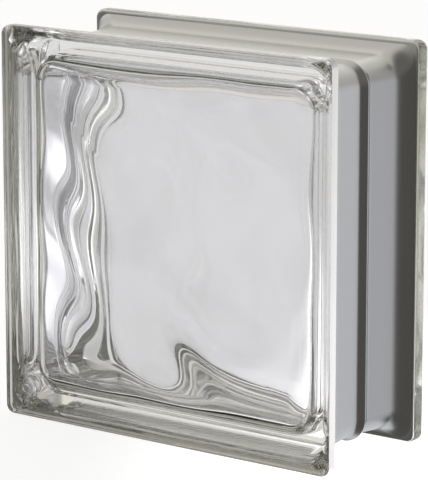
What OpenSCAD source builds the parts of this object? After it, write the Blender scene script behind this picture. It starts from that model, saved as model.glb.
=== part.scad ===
// Hollow glass block: two pressed glass shells fused at the middle into one piece.
// Front face toward -Y, standing on its lower flange rims, base at z = 0.

/* [Block] */
// Width and height of the square face
side = 190; // [145:1:300]
// Thickness from front face to back face
depth = 80; // [75:1:100]
// Corner radius of the face outline
corner_radius = 4.5; // [4.5:0.5:12]

/* [Flanges] */
// Width of each flange rim, from the face to the groove
rim = 8; // [7:0.5:10]
// Radius along the outer edges of both faces
face_edge = 2.2; // [1:0.1:2.2]
// Radius along the groove side of each rim
lip_edge = 1.5; // [0.5:0.1:1.6]

/* [Edge groove] */
// Inset of the groove floor beside the fused seam
floor_inset = 8.2; // [7.6:0.1:8.6]
// Inset of the groove floor where the cove under a flange begins
cove_inset = 6.6; // [5.6:0.1:7.2]
// Inset of the cove where it meets its flange
cove_top = 2; // [1.9:0.1:3]
// Distance along the groove that one cove takes
cove_run = 11.5; // [11:0.5:14]
// Corner radius of the groove at its flanges
cove_corner = 7; // [6.8:0.1:9]
// Corner radius of the groove along the crest of the seam bead
seam_corner = 12; // [10:0.5:14]

/* [Fused seam] */
// Height of the seam bead above the groove floor
bead_height = 2.2; // [0.5:0.1:3]
// Width of the seam bead at its foot
bead_foot = 8.2; // [6:0.1:12]
// Width of the flat crest of the seam bead
bead_crest = 0.6; // [0.4:0.1:3]
// Height of the weld ridge inside the cavity
weld_height = 1.6; // [0.4:0.1:3]
// Width of the weld ridge at its foot
weld_foot = 7; // [4:0.5:12]
// Width of the flat crest of the weld ridge
weld_crest = 1.2; // [0.6:0.1:3]

/* [Cavity] */
// Thickness of each face plate to the middle of its waves
plate = 9; // [8:0.5:12]
// Inset of the cavity wall where it turns in to a face plate
wall_inset = 13.4; // [12.8:0.1:15]
// Inset of the cavity wall beside the weld ridge
seam_inset = 12.2; // [11:0.1:12.6]
// Radius of the turn from the cavity wall to a face plate
inner_radius = 11; // [6:0.5:12]
// Inset of the corner centre of the cavity
cavity_centre = 27; // [27:0.5:34]

/* [Waves] */
// Height of the main wave on the inside of each face, to either side of the middle
wave_height = 0.94; // [0.3:0.02:1.2]
// Length of the main wave
wave_length = 82.1; // [60:0.1:140]
// Grid squares along one side of a wavy face
wave_grid = 24; // [16:2:40]

/* [Hidden] */
$fn = 96;
half = side / 2;
front = depth / 2;
lip = front - rim;
plate_z = front - plate;
overlap = 1;
// Least radius of a swept section's inner edge
least_x = 0.5;
face_radius = min(face_edge, corner_radius / 2);
cove_z = lip - cove_run;
cove_rise = cove_inset - cove_top;
// Insets of the two corner centres of the groove
cove_centre = max(cove_top + cove_corner, floor_inset + least_x);
seam_centre = floor_inset - bead_height + seam_corner;
// The seam's corners stand this far off the straight sides, and flare out to the corners at the flanges
corner_ease = 0.1;
corner_rise = cove_rise + (sqrt(2) - 1) * (seam_centre - cove_centre);
// One row for each wave: share of the height, share of the length, direction and phase in degrees
waves = [
    [1.00, 1.000, 66.8, 202],
    [0.79, 1.275, 161.7, 263],
    [0.52, 0.557, 65.3, 331],
    [0.48, 0.797, 121.9, 109],
    [0.38, 0.555, 44.7, 160],
    [0.31, 0.604, 15.0, 340],
    [0.18, 0.435, 41.5, 281]
];
wave_rise = wave_height * sum([for (w = waves) w[0]]);
lid = plate_z + wave_rise + overlap / 2;
// The wall turns in by this angle, then runs straight to the waves
turn_end = 50;
turn_steps = 6;

function sum(list, i = 0) = i < len(list) ? list[i] + sum(list, i + 1) : 0;

// Sweeps a section round the square outline: section x is the distance outward from the corner centre,
// section y is the height above the middle of the block.
module sweep(inset) {
    reach = half - inset;
    for (turn = [0, 90, 180, 270])
        rotate([0, 0, turn])
            translate([reach, reach, 0]) {
                rotate_extrude(angle = 90)
                    children();
                rotate([90, 0, 0])
                    linear_extrude(height = 2 * reach)
                        children();
            }
}

// Square block inside a sweep, between two heights.
module core(inset, low, high) {
    reach = half - inset;
    translate([-reach, -reach, low])
        cube([2 * reach, 2 * reach, high - low]);
}

// Section of a flange rim: large radius at the face, small radius at the groove.
module rim_section() {
    union() {
        polygon([
            [0, lip],
            [corner_radius - lip_edge, lip],
            [corner_radius, lip + lip_edge],
            [corner_radius, front - face_radius],
            [corner_radius - face_radius, front],
            [0, front]
        ]);
        translate([corner_radius - face_radius, front - face_radius])
            circle(r = face_radius);
        translate([corner_radius - lip_edge, lip + lip_edge])
            circle(r = lip_edge);
    }
}

// One flange with its face plate.
module flange() {
    sweep(corner_radius)
        rim_section();
    core(corner_radius, lip, front);
}

// Section between the flanges: a cove, the groove floor, the seam bead, the floor and a cove again.
module groove_section(floor_x, rise, end_z) {
    cove_x = floor_x + floor_inset - cove_inset;
    top_x = cove_x + rise;
    crest_x = floor_x + bead_height;
    cove_radius = (rise * rise + cove_run * cove_run) / (2 * rise);
    difference() {
        polygon([
            [0, -end_z],
            [top_x, -end_z],
            [top_x, -cove_z],
            [cove_x, -cove_z],
            [floor_x, -bead_foot / 2],
            [crest_x, -bead_crest / 2],
            [crest_x, bead_crest / 2],
            [floor_x, bead_foot / 2],
            [cove_x, cove_z],
            [top_x, cove_z],
            [top_x, end_z],
            [0, end_z]
        ]);
        for (z = [-cove_z, cove_z])
            translate([cove_x + cove_radius, z])
                circle(r = cove_radius);
    }
}

// Swept body between the flanges with one corner centre.
module groove_body(inset, grow, rise, end_z) {
    sweep(inset)
        groove_section(inset - floor_inset + grow, rise, end_z);
    core(inset, -end_z, end_z);
}

// Body between the flanges: tight corners at the flanges, wider ones along the seam.
module groove() {
    intersection() {
        groove_body(cove_centre, 0, cove_rise, lip + overlap);
        groove_body(seam_centre, corner_ease, corner_rise, lip + 2 * overlap);
    }
}

// One half of the cavity wall's section, from the weld ridge up to a face plate.
function wall_half() =
    let (
        wall_x = cavity_centre - wall_inset,
        seam_x = cavity_centre - seam_inset,
        turn_z = plate_z - inner_radius,
        end_x = wall_x - inner_radius * (1 - cos(turn_end)),
        end_z = turn_z + inner_radius * sin(turn_end),
        lid_x = max(least_x, end_x - (lid - end_z) * tan(turn_end))
    )
    concat(
        [
            [seam_x - weld_height, weld_crest / 2],
            [seam_x, weld_foot / 2]
        ],
        [
            for (k = [0 : turn_steps])
                let (a = turn_end * k / turn_steps)
                    [wall_x - inner_radius * (1 - cos(a)), turn_z + inner_radius * sin(a)]
        ],
        [
            [lid_x, lid],
            [0, lid]
        ]
    );

// Section of the cavity wall: drafted from the weld ridge, then turned in to each face plate.
module cavity_section() {
    upper = wall_half();
    count = len(upper);
    lower = [for (k = [count - 1 : -1 : 0]) [upper[k][0], -upper[k][1]]];
    polygon(concat(lower, upper));
}

// Height of the front face's waves at a place on the face.
function front_wave(x, y) =
    wave_height * sum([
        for (w = waves)
            w[0] * sin(360 * (x * cos(w[2]) + y * sin(w[2])) / (wave_length * w[1]) + w[3])
    ]);

// Height of the back face's waves, the same press turned a quarter.
function back_wave(x, y) = front_wave(y, -x);

// Slab with the waves of both faces on it.
module wave_slab() {
    n = wave_grid;
    reach = half - seam_inset + overlap;
    at = [for (i = [0 : n]) reach * (2 * i / n - 1)];
    top = [for (y = at) for (x = at) [x, y, plate_z + front_wave(x, y)]];
    low = [for (y = at) for (x = at) [x, y, -plate_z - back_wave(x, y)]];
    row = n + 1;
    m = row * row;
    cells = [for (j = [0 : n - 1]) for (i = [0 : n - 1]) j * row + i];
    ring = concat(
        [for (i = [0 : n - 1]) i],
        [for (j = [0 : n - 1]) j * row + n],
        [for (i = [0 : n - 1]) n * row + n - i],
        [for (j = [0 : n - 1]) (n - j) * row]
    );
    k = len(ring);
    faces = concat(
        [for (c = cells) [c, c + row, c + row + 1]],
        [for (c = cells) [c, c + row + 1, c + 1]],
        [for (c = cells) [m + c, m + c + row + 1, m + c + row]],
        [for (c = cells) [m + c, m + c + 1, m + c + row + 1]],
        [for (i = [0 : k - 1]) [ring[i], ring[(i + 1) % k], m + ring[(i + 1) % k]]],
        [for (i = [0 : k - 1]) [ring[i], m + ring[(i + 1) % k], m + ring[i]]]
    );
    polyhedron(points = concat(top, low), faces = faces);
}

// Sealed air space: drafted walls closed by the two wavy faces.
module cavity() {
    intersection() {
        union() {
            sweep(cavity_centre)
                cavity_section();
            core(cavity_centre, -lid, lid);
        }
        wave_slab();
    }
}

module glass_block() {
    color([0.82, 0.86, 0.85])
        translate([0, 0, half])
            rotate([90, 0, 0])
                difference() {
                    union() {
                        flange();
                        mirror([0, 0, 1])
                            flange();
                        groove();
                    }
                    cavity();
                }
}

glass_block();
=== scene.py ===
import math
import bpy
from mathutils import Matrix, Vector


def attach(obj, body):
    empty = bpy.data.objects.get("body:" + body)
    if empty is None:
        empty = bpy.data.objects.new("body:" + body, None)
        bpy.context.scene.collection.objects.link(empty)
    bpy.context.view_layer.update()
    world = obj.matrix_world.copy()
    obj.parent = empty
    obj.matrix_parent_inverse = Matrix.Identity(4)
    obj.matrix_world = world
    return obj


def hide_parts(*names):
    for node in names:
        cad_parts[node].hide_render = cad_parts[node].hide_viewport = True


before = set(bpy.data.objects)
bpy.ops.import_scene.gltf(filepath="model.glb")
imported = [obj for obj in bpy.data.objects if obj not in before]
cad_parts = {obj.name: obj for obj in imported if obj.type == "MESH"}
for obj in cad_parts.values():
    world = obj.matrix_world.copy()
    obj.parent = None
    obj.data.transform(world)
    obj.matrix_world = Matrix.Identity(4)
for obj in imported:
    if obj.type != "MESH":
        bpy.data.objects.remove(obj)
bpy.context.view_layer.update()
mm = 0.001

# settings that several nodes share, and the sockets of a Mix node in its colour mode
smooth = {"interpolation_type": "SMOOTHSTEP"}
colourMix = {"data_type": "RGBA"}
mixShare, mixFrom, mixTo, mixColour = 0, 6, 7, 2


# sRGB hex to the linear colour that Blender works in
def hexColour(text):
    parts = [int(text[i:i + 2], 16) / 255 for i in (1, 3, 5)]
    linear = [p / 12.92 if p <= 0.04045 else ((p + 0.055) / 1.055) ** 2.4 for p in parts]
    return (*linear, 1.0)


# one node with its settings and its links: links maps an input to another node's output
def addNode(tree, kind, settings=None, values=None, links=None):
    node = tree.nodes.new(kind)
    for name, value in (settings or {}).items():
        setattr(node, name, value)
    for name, value in (values or {}).items():
        node.inputs[name].default_value = value
    for name, output in (links or {}).items():
        tree.links.new(output, node.inputs[name])
    return node


def newMaterial(name):
    material = bpy.data.materials.new(name)
    material.use_nodes = True
    material.node_tree.nodes.clear()
    return material, material.node_tree


# the block's own measures in mm, as built in the solid
# insets run inward from the rim, heights from the middle of the thickness
block = {
    "side": 190.0,
    "depth": 80.0,
    "cornerCentre": 4.5,
    "rim": 8.0,
    "faceEdge": 2.2,
    "lipEdge": 1.5,
    "floorInset": 8.2,
    "coveInset": 6.6,
    "coveTop": 2.0,
    "coveRun": 11.5,
    "coveCorner": 7.0,
    "seamCorner": 12.0,
    "beadHeight": 2.2,
    "beadFoot": 8.2,
    "beadCrest": 0.6,
    "beadFootEase": 1.4,
    "beadCrestEase": 0.25,
    "coatReach": 0.3,  # how far the coat runs up the edge of a rim
    "plate": 9.0,
    "wallInset": 13.4,
    "innerRadius": 11.0,
    "seamInset": 12.2,
    "weldHeight": 1.6,
    "weldFoot": 7.0,
    "weldCrest": 1.2,
    "weldFootEase": 2.0,
    "weldCrestEase": 1.2,
    "cavityCentre": 27.0,
    # height and length of each pressed wave, then its direction and phase in degrees
    "waves": [(0.94, 82.1, 66.8, 202), (0.74, 104.7, 161.7, 263), (0.49, 45.7, 65.3, 331),
              (0.45, 65.4, 121.9, 109), (0.36, 45.6, 44.7, 160), (0.29, 49.6, 15.0, 340),
              (0.17, 35.7, 41.5, 281)],
    # how finely each curve is cut
    "cornerSteps": 20,
    "sideSteps": 60,
    "faceSteps": 8,
    "lipSteps": 6,
    "coveSteps": 16,
    "beadSteps": 5,
    "turnSteps": 14,
    "weldSteps": 6,
}


# points round a square outline with round corners, in mm from the middle of the face
def squareOutline(inset, centre):
    reach = block["side"] / 2 - centre
    radius = centre - inset
    points = []
    for quarter in range(4):
        turn = math.pi / 2 * quarter
        corner = complex(reach, reach) * complex(math.cos(turn), math.sin(turn))
        following = corner * 1j
        for k in range(block["cornerSteps"]):
            angle = turn + math.pi / 2 * k / block["cornerSteps"]
            points.append(corner + radius * complex(math.cos(angle), math.sin(angle)))
        out = radius * complex(math.cos(turn + math.pi / 2), math.sin(turn + math.pi / 2))
        for k in range(block["sideSteps"]):
            points.append(corner + out + (following - corner) * k / block["sideSteps"])
    return points


# eases every inner corner of a path of (inset, height, reach) points with a short curve
def softPath(corners, steps):
    path = [corners[0][:2]]
    for before, here, after in zip(corners, corners[1:], corners[2:]):
        p, q, r = (Vector(c[:2]) for c in (before, here, after))
        start = q + (p - q).normalized() * here[2]
        end = q + (r - q).normalized() * here[2]
        for k in range(steps + 1):
            t = k / steps
            point = start * (1 - t) ** 2 + q * 2 * t * (1 - t) + end * t ** 2
            path.append((point.x, point.y))
    path.append(corners[-1][:2])
    return path


# how far an arc has risen at t, if it starts level and rises by rise over run
def arcRise(rise, run, t):
    radius = (rise ** 2 + run ** 2) / (2 * rise)
    return radius - math.sqrt(radius ** 2 - t ** 2)


# section of the outside, from the front face's edge to the middle, as (inset, height, corner centre)
def frontSection():
    half = block["depth"] / 2
    lip = half - block["rim"]
    edge, small = block["faceEdge"], block["lipEdge"]
    section = []
    for k in range(block["faceSteps"] + 1):
        a = math.pi / 2 * k / block["faceSteps"]
        inset, height = edge - edge * math.sin(a), half - edge + edge * math.cos(a)
        section.append((inset, height, block["cornerCentre"]))
    for k in range(block["lipSteps"] + 1):
        a = math.pi / 2 * k / block["lipSteps"]
        inset, height = small - small * math.cos(a), lip + small - small * math.sin(a)
        section.append((inset, height, block["cornerCentre"]))
    crest = block["floorInset"] - block["beadHeight"]
    seamCentre = crest + block["seamCorner"]
    rise = block["coveInset"] - block["coveTop"]
    run = block["coveRun"]
    # the corners flare out faster than the sides, from the seam's wide corner to the flange's tight one
    diagonal = math.sqrt(2) - 1
    cornerRise = rise + diagonal * (seamCentre - block["coveTop"] - block["coveCorner"])
    for k in range(block["coveSteps"] + 1):
        t = run * (1 - k / block["coveSteps"])
        drop = arcRise(rise, run, t)
        centre = seamCentre - (arcRise(cornerRise, run, t) - drop) / diagonal
        section.append((block["coveInset"] - drop, lip - run + t, centre))
    bead = softPath([
        (block["coveInset"], lip - run, 0),
        (block["floorInset"], block["beadFoot"] / 2, block["beadFootEase"]),
        (crest, block["beadCrest"] / 2, block["beadCrestEase"]),
        (crest, 0, 0),
    ], block["beadSteps"])
    section += [(inset, height, seamCentre) for inset, height in bead[1:]]
    return section


# rise of the pressed waves at a place on the front face
def frontWave(x, y):
    rise = 0
    for height, length, direction, phase in block["waves"]:
        way, start = math.radians(direction), math.radians(phase)
        along = x * math.cos(way) + y * math.sin(way)
        rise += height * math.sin(2 * math.pi * along / length + start)
    return rise


# the back is the same press turned a quarter
def backWave(x, y):
    return frontWave(y, -x)


# rings of the sealed air space, from the edge of one wavy face round to the weld at the middle
def cavityRings(wave):
    plate = block["depth"] / 2 - block["plate"]
    radius = block["innerRadius"]
    rings = []
    for k in range(block["turnSteps"] + 1):
        a = math.pi / 2 * (1 - k / block["turnSteps"])
        level = plate - radius + radius * math.sin(a)
        share = math.sin(a) ** 2
        outline = squareOutline(block["wallInset"] + radius * (1 - math.cos(a)), block["cavityCentre"])
        rings.append([(p.real, p.imag, level + share * wave(p.real, p.imag)) for p in outline])
    ridge = block["seamInset"] + block["weldHeight"]
    wall = softPath([
        (block["wallInset"], plate - radius, 0),
        (block["seamInset"], block["weldFoot"] / 2, block["weldFootEase"]),
        (ridge, block["weldCrest"] / 2, block["weldCrestEase"]),
        (ridge, 0, 0),
    ], block["weldSteps"])
    for inset, height in wall[1:]:
        rings.append([(p.real, p.imag, height) for p in squareOutline(inset, block["cavityCentre"])])
    return rings


# joins rings of points to a mesh; each strip has the slot of its material, and flip turns its faces over
class BlockMesh:
    def __init__(self):
        self.points = []
        self.faces = []
        self.slots = []
        self.creases = set()

    def addRing(self, ring):
        start = len(self.points)
        self.points += ring
        return list(range(start, start + len(ring)))

    def addFace(self, face, slot, flip):
        self.faces.append(face[::-1] if flip else face)
        self.slots.append(slot)

    def strip(self, a, b, slot, flip):
        n = len(a)
        for k in range(n):
            self.addFace([a[k], a[(k + 1) % n], b[(k + 1) % n], b[k]], slot, flip)

    # even net of points inside a square ring, raised to the waves
    def wavyFace(self, ring, wave, flip):
        n = len(ring) // 4
        start = block["cornerSteps"] // 2
        border = ring[start:] + ring[:start + 1]
        rim = [complex(*self.points[k][:2]) for k in border]
        level = block["depth"] / 2 - block["plate"]
        net = {}
        for i in range(n + 1):
            net[i, 0], net[i, n] = border[2 * n + i], border[n - i]
            net[0, i], net[n, i] = border[2 * n - i], border[3 * n + i]
        for i in range(1, n):
            for j in range(1, n):
                u, v = i / n, j / n
                p = (1 - v) * rim[2 * n + i] + v * rim[n - i]
                p += (1 - u) * rim[2 * n - j] + u * rim[3 * n + j]
                p -= (1 - v) * ((1 - u) * rim[2 * n] + u * rim[3 * n])
                p -= v * ((1 - u) * rim[n] + u * rim[0])
                height = level + wave(p.real, p.imag)
                net[i, j] = len(self.points)
                self.points.append((p.real, p.imag, height if flip else -height))
        for i in range(n):
            for j in range(n):
                self.addFace([net[i, j], net[i + 1, j], net[i + 1, j + 1], net[i, j + 1]], 0, flip)

    # in the block's frame: across is X, up is Z, and the front face looks to -Y
    def build(self, name):
        half = block["side"] / 2
        mesh = bpy.data.meshes.new(name)
        mesh.from_pydata([(x * mm, -h * mm, (y + half) * mm) for x, y, h in self.points], [], self.faces)
        mesh.polygons.foreach_set("material_index", self.slots)
        mesh.polygons.foreach_set("use_smooth", [True] * len(self.faces))
        mesh.update()
        for edge in mesh.edges:
            edge.use_edge_sharp = self.creases.issuperset(edge.vertices)
        return mesh


def makeBlock():
    shape = BlockMesh()
    front = frontSection()
    section = front + [(inset, -height, centre) for inset, height, centre in front[-2::-1]]
    rings = []
    lip = block["depth"] / 2 - block["rim"]
    for inset, height, centre in section:
        rings.append(shape.addRing([(p.real, p.imag, height) for p in squareOutline(inset, centre)]))
        # the groove meets its flange in a sharp line
        if math.isclose(inset, block["coveTop"]) and math.isclose(abs(height), lip):
            shape.creases.update(rings[-1])
    coatEnd = lip + block["coatReach"]
    rimEnd = block["depth"] / 2 - block["faceEdge"]
    for k in range(len(rings) - 1):
        middle = abs(section[k][1] + section[k + 1][1]) / 2
        slot = 1 if middle < coatEnd else 2 if middle < rimEnd else 0
        shape.strip(rings[k], rings[k + 1], slot, True)
    shape.addFace(rings[0], 0, False)
    shape.addFace(rings[-1], 0, True)
    # the air space, wound the other way so that its faces look into the air
    inner = [shape.addRing(ring) for ring in cavityRings(frontWave)]
    for ring in cavityRings(backWave)[-2::-1]:
        inner.append(shape.addRing([(x, y, -h) for x, y, h in ring]))
    for a, b in zip(inner, inner[1:]):
        shape.strip(a, b, 0, False)
    shape.wavyFace(inner[0], frontWave, True)
    shape.wavyFace(inner[-1], backWave, False)
    piece = bpy.data.objects.new("glassBlock", shape.build("glassBlock"))
    bpy.context.scene.collection.objects.link(piece)
    return piece


glass = {
    "ior": 1.52,
    "colour": "#EEEEF0",
    "body": "#E9E9DF",
    "bodyDensity": 3.0,
    "dip": 22.0,  # mm, size of the shallow dips left by pressing
    "dipDepth": 0.03,  # mm
}


# pressed soda-lime glass, fire-polished: clear and wet-looking, a little uneven,
# faintly yellow-grey in the thick
def pressedSodaLimeGlass():
    material, tree = newMaterial("pressedSodaLimeGlass")
    place = addNode(tree, "ShaderNodeTexCoord")
    dips = addNode(tree, "ShaderNodeTexNoise", values={"Scale": 1 / (glass["dip"] * mm), "Detail": 1.5},
                   links={"Vector": place.outputs["Object"]})
    bump = addNode(tree, "ShaderNodeBump", values={"Strength": 1.0, "Distance": glass["dipDepth"] * mm},
                   links={"Height": dips.outputs["Fac"]})
    surface = addNode(tree, "ShaderNodeBsdfPrincipled", values={
        "Base Color": hexColour(glass["colour"]), "Roughness": 0.0, "IOR": glass["ior"],
        "Transmission Weight": 1.0,
    }, links={"Normal": bump.outputs["Normal"]})
    body = addNode(tree, "ShaderNodeVolumeAbsorption", values={
        "Color": hexColour(glass["body"]), "Density": glass["bodyDensity"]})
    addNode(tree, "ShaderNodeOutputMaterial", links={
        "Surface": surface.outputs["BSDF"], "Volume": body.outputs["Volume"]})
    return material


rims = {
    "clear": 0.85,
    "clearColour": "#DADBD6",
    # painted highlight: the right front rim is drawn nearly opaque and white, picked out by where it lies
    "highlightClear": 0.05,
    "highlightColour": "#FFFFFF",
    "highlightAlong": (30.0, -30.0),  # mm, from the back to the front
    "highlightAcross": (90.0, 94.0),  # mm, to the right of the middle
    "roughness": 0.12,
    "grain": 1.2,  # mm, drawn coarser than the mould's own grain so that it shows
    "grainDepth": 0.03,  # mm
    "grainStrength": 0.08,
}


# the same glass on the rims, left as the mould gave it: a fine haze that blurs what lies behind;
# the right front rim is drawn whitest and nearly opaque, a painted highlight
def mouldedGlassRim():
    material, tree = newMaterial("mouldedGlassRim")
    place = addNode(tree, "ShaderNodeTexCoord")
    grains = addNode(tree, "ShaderNodeTexNoise", values={"Scale": 1 / (rims["grain"] * mm), "Detail": 2.0},
                     links={"Vector": place.outputs["Object"]})
    bump = addNode(tree, "ShaderNodeBump", values={
        "Strength": rims["grainStrength"], "Distance": rims["grainDepth"] * mm,
    }, links={"Height": grains.outputs["Fac"]})
    axes = addNode(tree, "ShaderNodeSeparateXYZ", links={"Vector": place.outputs["Object"]})
    front = addNode(tree, "ShaderNodeMapRange", values={
        "From Min": rims["highlightAlong"][0] * mm, "From Max": rims["highlightAlong"][1] * mm,
    }, links={"Value": axes.outputs["Y"]})
    right = addNode(tree, "ShaderNodeMapRange", values={
        "From Min": rims["highlightAcross"][0] * mm, "From Max": rims["highlightAcross"][1] * mm,
    }, links={"Value": axes.outputs["X"]})
    # painted highlight mask, full on the right front rim and nothing elsewhere
    rimHighlight = addNode(tree, "ShaderNodeMath", {"operation": "MULTIPLY"},
                   links={0: front.outputs["Result"], 1: right.outputs["Result"]})
    clear = addNode(tree, "ShaderNodeMapRange", values={"To Min": rims["clear"], "To Max": rims["highlightClear"]},
                    links={"Value": rimHighlight.outputs["Value"]})
    tint = addNode(tree, "ShaderNodeMix", colourMix, {
        mixFrom: hexColour(rims["clearColour"]), mixTo: hexColour(rims["highlightColour"]),
    }, {mixShare: rimHighlight.outputs["Value"]})
    surface = addNode(tree, "ShaderNodeBsdfPrincipled", values={
        "Roughness": rims["roughness"], "IOR": glass["ior"],
    }, links={
        "Base Color": tint.outputs[mixColour], "Transmission Weight": clear.outputs["Result"],
        "Normal": bump.outputs["Normal"],
    })
    body = addNode(tree, "ShaderNodeVolumeAbsorption", values={
        "Color": hexColour(glass["body"]), "Density": glass["bodyDensity"]})
    addNode(tree, "ShaderNodeOutputMaterial", links={
        "Surface": surface.outputs["BSDF"], "Volume": body.outputs["Volume"]})
    return material


coat = {
    "outside": "#D6D7D8",
    "inside": "#F4F4F4",
    # painted shade: seen from within, the coat is drawn darker in the coves by the flanges
    "insideCoveShade": "#E0E0DC",
    "coveStart": 19.0,  # mm from the middle of the thickness
    "coveEnd": 26.0,
    "roughness": 0.3,
    "insideRoughness": 0.05,
    "peel": 3.0,  # mm, width of the orange peel's bumps
    "peelDepth": 0.05,  # mm
    "peelStrength": 0.25,
    "insideStrength": 0.03,
}


# aluminium-pigmented edge paint, sprayed: satin silver-grey with a fine orange peel outside,
# and mirror-bright from within, where the film lies on the polished glass; from within it is drawn darker
# in the coves, a painted shade
def sprayedSilverPaint():
    material, tree = newMaterial("sprayedSilverPaint")
    place = addNode(tree, "ShaderNodeTexCoord")
    side = addNode(tree, "ShaderNodeNewGeometry")
    bumps = addNode(tree, "ShaderNodeTexNoise", values={"Scale": 1 / (coat["peel"] * mm), "Detail": 2.0},
                    links={"Vector": place.outputs["Object"]})
    uneven = addNode(tree, "ShaderNodeMapRange", values={
        "To Min": coat["peelStrength"], "To Max": coat["insideStrength"],
    }, links={"Value": side.outputs["Backfacing"]})
    bump = addNode(tree, "ShaderNodeBump", values={"Distance": coat["peelDepth"] * mm},
                   links={"Height": bumps.outputs["Fac"], "Strength": uneven.outputs["Result"]})
    axes = addNode(tree, "ShaderNodeSeparateXYZ", links={"Vector": place.outputs["Object"]})
    depth = addNode(tree, "ShaderNodeMath", {"operation": "ABSOLUTE"}, links={0: axes.outputs["Y"]})
    # painted shade in the coves, by the distance from the middle of the thickness
    coveShade = addNode(tree, "ShaderNodeMapRange", smooth, {
        "From Min": coat["coveStart"] * mm, "From Max": coat["coveEnd"] * mm,
    }, {"Value": depth.outputs["Value"]})
    mirrorAndCoveShade = addNode(tree, "ShaderNodeMix", colourMix, {
        mixFrom: hexColour(coat["inside"]), mixTo: hexColour(coat["insideCoveShade"]),
    }, {mixShare: coveShade.outputs["Result"]})
    colour = addNode(tree, "ShaderNodeMix", colourMix, {mixFrom: hexColour(coat["outside"])}, {
        mixShare: side.outputs["Backfacing"], mixTo: mirrorAndCoveShade.outputs[mixColour],
    })
    rough = addNode(tree, "ShaderNodeMapRange", values={
        "To Min": coat["roughness"], "To Max": coat["insideRoughness"],
    }, links={"Value": side.outputs["Backfacing"]})
    paint = addNode(tree, "ShaderNodeBsdfPrincipled", values={"Metallic": 1.0}, links={
        "Base Color": colour.outputs[mixColour], "Roughness": rough.outputs["Result"],
        "Normal": bump.outputs["Normal"],
    })
    addNode(tree, "ShaderNodeOutputMaterial", links={"Surface": paint.outputs["BSDF"]})
    return material


glassBlock = makeBlock()
glassBlock.data.materials.append(pressedSodaLimeGlass())
glassBlock.data.materials.append(sprayedSilverPaint())
glassBlock.data.materials.append(mouldedGlassRim())
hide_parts("glass_block")
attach(glassBlock, "root")
print("glass block:", len(glassBlock.data.polygons), "faces")


# lens, place and aim as in the photograph: degrees, mm, and pixels for the focal length and the image
camera = {
    "turn": 36.91,
    "rise": 12.02,
    "distance": 1420.0,
    "focal": 3010.0,
    "imageHeight": 480,
    "sensor": 36.0,
    "aside": 1.6,
    "up": -3.92,
}


# white lit shooting table, wide enough to fill the picture behind the block
# its light fades toward the lens, is strongest to the right of the block and shaded under it, in metres
floor = {
    "reach": 8.0,
    "colour": "#8C8C8C",
    "roughness": 0.9,
    "glow": 0.85,
    "dim": 0.3,
    "fadeStart": 0.16,
    "fadeEnd": 0.42,
    "patch": (0.31, 0.13, 0.0),
    "patchGain": 3.0,
    "patchCore": 0.08,
    "patchReach": 0.4,
    "shadeEnd": 0.058,
}


# opal acrylic sheet, cast and lit from below, without a gloss; its glow is painted light: brightest in a
# pool right of the block, dim toward the lens
def opalAcrylicTable():
    material, tree = newMaterial("opalAcrylicTable")
    place = addNode(tree, "ShaderNodeTexCoord")
    turn = math.radians(camera["turn"])
    ahead = addNode(tree, "ShaderNodeVectorMath", {"operation": "DOT_PRODUCT"},
                    {1: (math.sin(turn), -math.cos(turn), 0)}, {0: place.outputs["Object"]})
    glow = addNode(tree, "ShaderNodeMapRange", smooth, {
        "From Min": floor["fadeStart"], "From Max": floor["fadeEnd"],
        "To Min": floor["glow"], "To Max": floor["dim"],
    }, {"Value": ahead.outputs["Value"]})
    away = addNode(tree, "ShaderNodeVectorMath", {"operation": "DISTANCE"}, {1: floor["patch"]},
                   {0: place.outputs["Object"]})
    gain = addNode(tree, "ShaderNodeMapRange", smooth, {
        "From Min": floor["patchCore"], "From Max": floor["patchReach"],
        "To Min": floor["patchGain"], "To Max": 1.0,
    }, {"Value": away.outputs["Value"]})
    strength = addNode(tree, "ShaderNodeMath", {"operation": "MULTIPLY"},
                       links={0: glow.outputs["Result"], 1: gain.outputs["Result"]})
    sheet = addNode(tree, "ShaderNodeBsdfPrincipled", values={
        "Base Color": hexColour(floor["colour"]), "Roughness": floor["roughness"],
        "Specular IOR Level": 0.0, "Emission Color": hexColour("#FFFFFF"),
    }, links={"Emission Strength": strength.outputs["Value"]})
    addNode(tree, "ShaderNodeOutputMaterial", links={"Surface": sheet.outputs["BSDF"]})
    return material


# the same sheet without its glow under the block: a painted shadow
def shadedAcrylic():
    material, tree = newMaterial("shadedAcrylic")
    sheet = addNode(tree, "ShaderNodeBsdfPrincipled", values={
        "Base Color": hexColour(floor["colour"]), "Roughness": floor["roughness"],
        "Specular IOR Level": 0.0,
    })
    addNode(tree, "ShaderNodeOutputMaterial", links={"Surface": sheet.outputs["BSDF"]})
    return material


def makeFloor():
    mesh = bpy.data.meshes.new("studioFloor")
    side = (block["side"] / 2 - block["cornerCentre"]) * mm
    front = (block["depth"] / 2 - block["faceEdge"]) * mm
    lip = (block["depth"] / 2 - block["rim"] + block["lipEdge"]) * mm
    across = [-floor["reach"], -side, floor["shadeEnd"], side, floor["reach"]]
    along = [-floor["reach"], -front, -lip, lip, front, floor["reach"]]
    columns = len(across)
    faces, slots = [], []
    for j in range(len(along) - 1):
        for i in range(columns - 1):
            k = j * columns + i
            faces.append((k, k + 1, k + columns + 1, k + columns))
            # under the groove the shade ends before the open right end, under the rims it runs on
            underRim = j in (1, 3) and i in (1, 2)
            underGroove = j == 2 and i == 1
            slots.append(1 if underRim or underGroove else 0)
    mesh.from_pydata([(x, y, 0) for y in along for x in across], [], faces)
    mesh.polygons.foreach_set("material_index", slots)
    piece = bpy.data.objects.new("studioFloor", mesh)
    bpy.context.scene.collection.objects.link(piece)
    mesh.materials.append(opalAcrylicTable())
    mesh.materials.append(shadedAcrylic())
    piece.visible_glossy = False  # the coat mirrors the studio round the block and not this sheet


makeFloor()
print("floor: laid")


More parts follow.
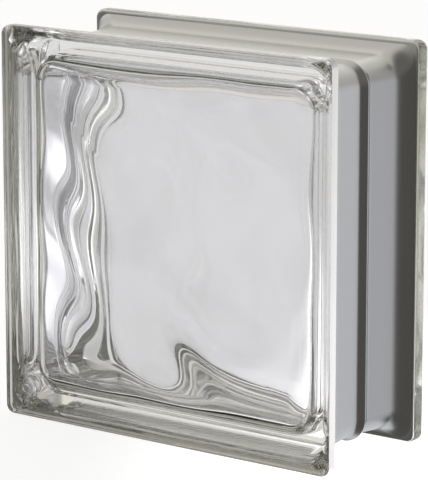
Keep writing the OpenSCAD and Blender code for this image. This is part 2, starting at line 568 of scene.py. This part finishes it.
# soft light from all round: bright behind and above, dim toward the lens, where the studio is unlit
# azimuths run from +X toward +Y, in degrees; what lies below the horizon shows only as reflections
# a zone is given by where it starts and where it is full, in height from -1 to 1;
# the unlit zone goes by the cosine of the angle from its middle
studio = {
    "strength": 1.1,
    "ground": [(-180, "#5A5854"), (-60, "#53514D"), (34, "#53514D"), (44, "#707070"), (60, "#D0D2D4"),
               (115, "#E0E2E4"), (145, "#707070"), (180, "#5A5854")],
    "low": [(-180, "#8C8C8C"), (-120, "#606060"), (-53, "#53514D"), (10, "#53514D"), (30, "#565450"),
            (39, "#B0B0B2"), (46, "#BCBCBF"), (60, "#D0D0D3"), (90, "#E4E4E4"), (150, "#E4E4E4"),
            (180, "#8C8C8C")],
    "high": [(-180, "#C8C5BC"), (-155, "#E8E6E0"), (-130, "#ACAAA0"), (-100, "#A09D96"), (-75, "#7A7670"),
             (-50, "#6A6762"), (28, "#6A6762"), (45, "#A8A6A2"), (75, "#C4C2BC"), (100, "#E4E2D8"),
             (127, "#FAF7EC"), (150, "#ECE9DF"), (180, "#CCC9C0")],
    "overhead": "#CDCAC0",
    "groundZone": (-0.34, -0.5),
    "highZone": (0.0, 0.16),
    "overheadZone": (0.56, 0.78),
    "unlit": "#64615C",
    "unlitTurn": -28.0,
    "unlitRise": 38.0,
    "unlitZone": (0.5, 0.85),
}


# colour stops by azimuth round the horizon
def horizonRamp(tree, azimuth, stops):
    ramp = addNode(tree, "ShaderNodeValToRGB", links={"Fac": azimuth})
    elements = ramp.color_ramp.elements
    while len(elements) < len(stops):
        elements.new(0.5)
    for element, (angle, colour) in zip(elements, stops):
        element.position = (angle + 180) / 360
        element.color = hexColour(colour)
    return ramp


def makeStudioLight():
    world = bpy.data.worlds.new("studioLight")
    bpy.context.scene.world = world
    world.use_nodes = True
    tree = world.node_tree
    tree.nodes.clear()
    place = addNode(tree, "ShaderNodeTexCoord")
    axes = addNode(tree, "ShaderNodeSeparateXYZ", links={"Vector": place.outputs["Generated"]})
    angle = addNode(tree, "ShaderNodeMath", {"operation": "ARCTAN2"},
                    links={0: axes.outputs["Y"], 1: axes.outputs["X"]})
    azimuth = addNode(tree, "ShaderNodeMapRange", values={"From Min": -math.pi, "From Max": math.pi},
                      links={"Value": angle.outputs["Value"]})
    # the ceiling is unlit over the lens
    turn, rise = math.radians(studio["unlitTurn"]), math.radians(studio["unlitRise"])
    unlitWay = (math.cos(turn) * math.cos(rise), math.sin(turn) * math.cos(rise), math.sin(rise))
    lens = addNode(tree, "ShaderNodeVectorMath", {"operation": "DOT_PRODUCT"}, {1: unlitWay},
                   {0: place.outputs["Generated"]})
    zones = {}
    for name, value in (("groundZone", axes.outputs["Z"]), ("highZone", axes.outputs["Z"]),
                        ("overheadZone", axes.outputs["Z"]), ("unlitZone", lens.outputs["Value"])):
        start, full = studio[name]
        zones[name] = addNode(tree, "ShaderNodeMapRange", smooth, {"From Min": start, "From Max": full},
                              {"Value": value}).outputs["Result"]
    ground, low, high = (horizonRamp(tree, azimuth.outputs["Result"], studio[name]).outputs["Color"]
                         for name in ("ground", "low", "high"))
    below = addNode(tree, "ShaderNodeMix", colourMix, links={
        mixShare: zones["groundZone"], mixFrom: low, mixTo: ground})
    walls = addNode(tree, "ShaderNodeMix", colourMix, links={
        mixShare: zones["highZone"], mixFrom: below.outputs[mixColour], mixTo: high})
    ceiling = addNode(tree, "ShaderNodeMix", colourMix, {
        mixFrom: hexColour(studio["overhead"]), mixTo: hexColour(studio["unlit"]),
    }, {mixShare: zones["unlitZone"]})
    sky = addNode(tree, "ShaderNodeMix", colourMix, links={
        mixShare: zones["overheadZone"], mixFrom: walls.outputs[mixColour],
        mixTo: ceiling.outputs[mixColour],
    })
    light = addNode(tree, "ShaderNodeBackground", values={"Strength": studio["strength"]},
                    links={"Color": sky.outputs[mixColour]})
    addNode(tree, "ShaderNodeOutputWorld", links={"Surface": light.outputs["Background"]})


makeStudioLight()
bpy.context.scene.view_settings.view_transform = "Standard"
# light runs far inside the glass, from coat to coat, before it comes out
paths = bpy.context.scene.cycles
paths.max_bounces = 32
paths.glossy_bounces = 24
paths.transmission_bounces = 32
print("light: set")


def makeCamera():
    data = bpy.data.cameras.new("camera")
    data.sensor_width = camera["sensor"]
    data.lens = camera["focal"] / camera["imageHeight"] * data.sensor_width
    data.clip_end = 100
    turn, rise = math.radians(camera["turn"]), math.radians(camera["rise"])
    back = Vector((math.sin(turn) * math.cos(rise), -math.cos(turn) * math.cos(rise), math.sin(rise)))
    right = Vector((math.cos(turn), math.sin(turn), 0))
    above = back.cross(right)
    aim = Vector((0, 0, block["side"] / 2)) + right * camera["aside"] + above * camera["up"]
    piece = bpy.data.objects.new("camera", data)
    piece.location = (aim + back * camera["distance"]) * mm
    piece.rotation_euler = back.to_track_quat("Z", "Y").to_euler()
    bpy.context.scene.collection.objects.link(piece)
    bpy.context.scene.camera = piece


makeCamera()
print("camera: set")
